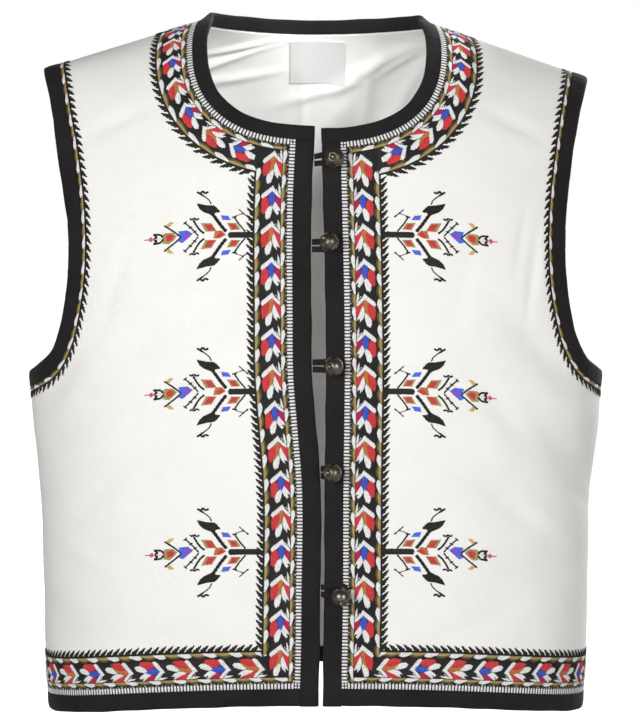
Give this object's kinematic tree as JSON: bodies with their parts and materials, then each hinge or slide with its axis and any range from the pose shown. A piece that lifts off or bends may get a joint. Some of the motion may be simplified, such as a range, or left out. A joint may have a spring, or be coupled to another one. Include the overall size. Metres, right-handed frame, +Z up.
{
  "type": "embroidered vest",
  "caption": "Short ivory folk vest with black bindings, ball buttons in cord loops and an off-white back lining, shaped hollow as worn, open at the neck, hem and armholes",
  "frame": {"origin": "Midway between the two shoulder seams, where the wearer's shoulders hold the vest", "axes": "+Z up as worn, the front faces -Y, +X towards the viewer's right when seen from the front"},
  "size_m": [0.4434, 0.2578, 0.5388],
  "materials": {
    "ivory_cloth": "matt ivory woven cloth",
    "lining_cloth": "smooth off-white lining cloth",
    "binding_cloth": "matt black folded cloth band",
    "label_cloth": "smooth white woven ribbon, blank",
    "button_metal": "dark antique silver, polished on the high parts",
    "cord_cloth": "black sewn cloth cord"
  },
  "bodies": {
    "root": {"front_left": "ivory_cloth", "front_right": "ivory_cloth", "back": "ivory_cloth", "back_lining": "lining_cloth", "neck_binding": "binding_cloth", "front_binding_left": "binding_cloth", "front_binding_right": "binding_cloth", "hem_binding_left": "binding_cloth", "hem_binding_right": "binding_cloth", "hem_binding_back": "binding_cloth", "armhole_binding_left": "binding_cloth", "armhole_binding_right": "binding_cloth", "label": "label_cloth", "button_1": "button_metal", "button_2": "button_metal", "button_3": "button_metal", "button_4": "button_metal", "button_5": "button_metal", "loop_1": "cord_cloth", "loop_2": "cord_cloth", "loop_3": "cord_cloth", "loop_4": "cord_cloth", "loop_5": "cord_cloth"}
  },
  "joints": []
}
